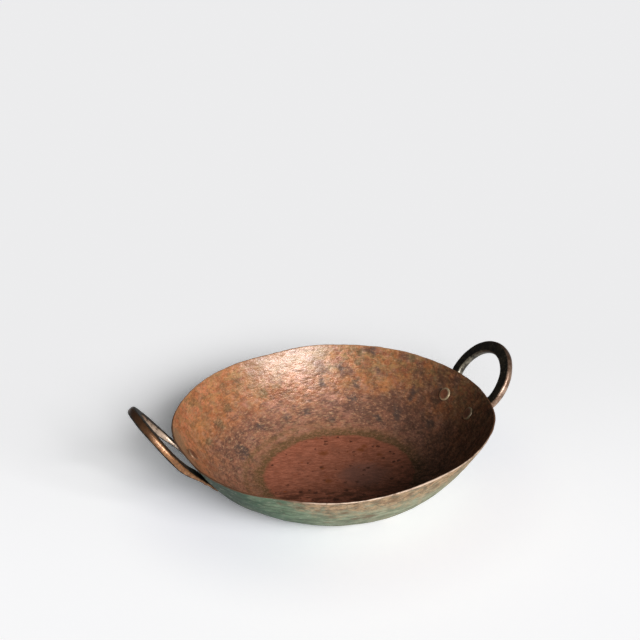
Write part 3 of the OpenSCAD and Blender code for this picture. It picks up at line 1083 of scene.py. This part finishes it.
def handle_finish():
    """Forged bronze with a black skin on its broad faces, rubbed bare along its narrow sides; their
    darker corners and crown are partly painted shade.
    """
    f = Finish("forged_bronze")
    crown = f.mark("crown")
    ashen = f.mark("ashen")
    patch = f.blotch(9 * MM, detail=6, rough=0.7)
    speck = f.blotch(2.6 * MM, detail=4, rough=0.7)
    skin = f.paint(f.fit(patch, 0.4, 0.62), *SKIN_TONES)
    skin = f.paint(f.times(f.fit(speck, 0.58, 0.68), 0.6), skin, SKIN_DUST)

    # Bare metal of the narrow side that looks outwards, then of the one towards the loop's hole
    cut_patch = f.fit(patch, 0.38, 0.62)
    bare = f.paint(cut_patch, *BRONZE_TONES)
    bare = f.paint(f.times(f.fit(speck, 0.5, 0.62), 0.7), bare, BRONZE_SPECK)
    bare = f.paint(f.times(ashen, 0.75), bare, f.paint(cut_patch, *ASHEN_TONES))
    # The crown is darker: partly less wear, partly painted shade where it faces away from the lamps
    bare = f.paint(f.times(crown, 0.92), bare, CROWN_BROWN_AND_SHADE)
    grey = f.paint(f.fit(patch, 0.34, 0.52), *GREY_TONES)
    grey = f.paint(ashen, grey, f.paint(f.fit(patch, 0.38, 0.58), *OLIVE_TONES))
    grey = f.paint(f.times(crown, 0.85), grey, CROWN_GREY_AND_SHADE)
    bare = f.paint(f.fit(f.mark("hole"), 0.3, 0.7), bare, grey)

    # Bare narrow sides with dark corners: partly wear, partly painted shade and highlight of a rounded
    # strap
    rubbed_and_painted_light = f.fit(f.plus(f.mark("wear"), f.swing(patch, 0.9)), 0.42, 0.78)
    colour = f.paint(rubbed_and_painted_light, skin, bare)
    metallic = f.times(rubbed_and_painted_light, 0.55)
    roughness = f.plus(f.between(rubbed_and_painted_light, 0.55, 0.34), f.swing(speck, 0.4))
    blows = f.cells(11 * MM, feature="SMOOTH_F1").outputs["Distance"]
    relief = f.plus(f.times(blows, 0.35), f.plus(f.times(speck, 0.5), f.times(patch, 0.4)))
    film = f.times(rubbed_and_painted_light, f.between(crown, 0.3, 0.1))
    gloss = f.between(rubbed_and_painted_light, 0.15, 0.4)
    return f.metal(colour, metallic, roughness, f.bump(relief, 0.7 * MM, 0.6), film, 0.2, gloss)


def rivet_finish():
    """Copper rivets, brown on top and bright at the edge of the heads: partly rubbed metal, partly a
    painted glint on the right-hand rivets.
    """
    f = Finish("riveted_copper")
    speck = f.blotch(1.8 * MM, detail=3, rough=0.7)
    cloud = f.blotch(7 * MM, detail=4, rough=0.65)
    edge = f.times(f.fit(f.mark("wear"), 0.35, 0.12), f.fit(speck, 0.35, 0.5, 0.6, 1))
    # The bright edge is stronger on the right-hand rivets: partly wear, partly painted highlight
    right = f.facing(f.vector("NORMALIZE", f.place), 0, -0.5, 0.5)
    edge = f.times(edge, f.fit(right, 0, 1, 0.3, 1))
    colour = f.paint(edge, f.paint(f.fit(cloud, 0.38, 0.64), *RIVET_TONES), RIVET_EDGE_AND_GLINT)
    # Soot and painted shade darken the rivets on the wall away from the lamps
    soot_and_shade = f.fit(f.far(f.place, SOOT_AND_SHADE_MIDDLE), 160 * MM, 80 * MM, 0, 0.65)
    colour = f.paint(soot_and_shade, colour, SOOT_AND_PAINTED_SHADE)
    roughness = f.between(edge, 0.5, 0.36)
    relief = f.plus(cloud, f.times(speck, 0.6))
    return f.metal(colour, 0.35, roughness, f.bump(relief, 0.5 * MM, 0.7), 0.15, 0.35, 0.4)


# Tones of the pale floor: in the picture beyond the pan, then on this side near the pan and
# apart from it, how blue these two are, and what the copper mirrors. Near the pan the tone
# is lower and bluer, a painted shade that offsets the warm light the pan throws on the
# floor. The spans are of the change from beyond to this side, and of that from near to apart
TONE_BEYOND = 1.25
TONES_HERE = (1.19, 1.39)
BLUE_HERE = (1.05, 1.01)
TONE_MIRRORED = 0.86
SPAN_HERE = (-0.35, 0.25)
SPAN_APART = (0.17, 0.31)
FLOOR_HALF = 30


def floor_finish():
    """Pale floor that keeps its colour in the picture and in reflections."""
    f = Finish("pale_floor")
    seen = f.add("LightPath").outputs["Is Camera Ray"]
    here = f.facing(f.place, -90, *SPAN_HERE)
    apart = f.fit(f.length(f.place), *SPAN_APART)
    tone = f.between(here, TONE_BEYOND, f.between(apart, *TONES_HERE))
    tone = f.between(seen, TONE_MIRRORED, tone)
    blue = f.times(tone, f.between(apart, *BLUE_HERE))
    colour = f.add("CombineXYZ", {0: tone, 1: tone, 2: blue}).outputs[0]
    shade = f.add("BsdfDiffuse", {"Color": colour})
    f.add("OutputMaterial", {"Surface": shade.outputs[0]})
    return f.owner


def make_floor():
    bm = bmesh.new()
    bmesh.ops.create_grid(bm, x_segments=1, y_segments=1, size=FLOOR_HALF)
    floor = finished(bm, "floor")
    floor.data.materials.append(floor_finish())


# A low wide window, as three soft lamps side by side: the direction of the middle
# one from the camera's right hand, their height, the step between them and how
# wide each is, and each one's share of the power
KEY_FROM = -66
KEY_HEIGHT = math.radians(27)
KEY_STEP = 18
KEY_SPREAD = math.radians(25)
KEY_POWER = 4.1
KEY_SHARES = {"left": 0.25, "middle": 0.40, "right": 0.35}
# How strongly the room lights the pan, and the grey beyond the floor's edge
ROOM_LIGHT = 0.08
BACKDROP = (0.85, 0.85, 0.85)


def light_room():
    """The three lamps, and an even room that shows as a pale backdrop."""
    for step, (name, share) in enumerate(KEY_SHARES.items()):
        sun = bpy.data.lights.new("window_" + name, "SUN")
        sun.energy = KEY_POWER * share
        sun.angle = KEY_SPREAD
        lamp = placed("window_" + name, sun)
        way = turned(KEY_FROM + (step - 1) * KEY_STEP)
        direction = spot(way, math.cos(KEY_HEIGHT), math.sin(KEY_HEIGHT))
        lamp.rotation_euler = direction.to_track_quat("Z", "Y").to_euler()
    room = Nodes(bpy.data.worlds.new("room"))
    seen = room.add("LightPath").outputs["Is Camera Ray"]
    light = room.add("Background", {0: (1, 1, 1), 1: ROOM_LIGHT}).outputs[0]
    back = room.add("Background", {0: BACKDROP}).outputs[0]
    both = room.add("MixShader", {0: seen, 1: light, 2: back}).outputs[0]
    room.add("OutputWorld", {0: both})
    bpy.context.scene.world = room.owner


def place_camera():
    """Stands the camera where the photograph was taken from."""
    spin = Matrix.Rotation(HANDLE_TURN, 3, "Z")
    away = Vector((0, -math.cos(CAMERA_HEIGHT), math.sin(CAMERA_HEIGHT)))
    right = Vector((1, 0, 0))
    forward = -away
    level = Matrix((right, forward.cross(right), forward))
    middle = FRAME_PX / 2
    aim = Vector(((AIM_PX[0] - middle) / FOCAL_PX, (AIM_PX[1] - middle) / FOCAL_PX, 1)).normalized()
    turn = Vector((0, 0, 1)).rotation_difference(aim).to_matrix()
    rows = Matrix.Rotation(CAMERA_TILT, 3, aim) @ turn @ level @ spin
    camera = bpy.data.cameras.new("camera")
    camera.sensor_width = SENSOR_MM
    camera.lens = SENSOR_MM * FOCAL_PX / FRAME_PX
    camera.clip_end = 100
    seat = placed("camera", camera)
    turned_to = Matrix((rows[0], -rows[1], -rows[2])).transposed()
    stand = spin.transposed() @ (away * CAMERA_FAR) + Vector((0, 0, BOWL_H))
    seat.matrix_world = Matrix.Translation(stand) @ turned_to.to_4x4()
    bpy.context.scene.camera = seat


place_camera()
light_room()
make_floor()
dress(make_bowl(), "bowl", bowl_finish())
bronze = handle_finish()
dress(make_handle("right", 1), "right_handle", bronze)
dress(make_handle("left", -1), "left_handle", bronze)
copper = rivet_finish()
for end, side in (("right", 1), ("left", -1)):
    for place, hand in (("front", -side), ("back", side)):
        node = end + "_" + place + "_rivet"
        dress(make_rivet(node, side, hand), node, copper)

bpy.context.scene.view_settings.view_transform = "Standard"
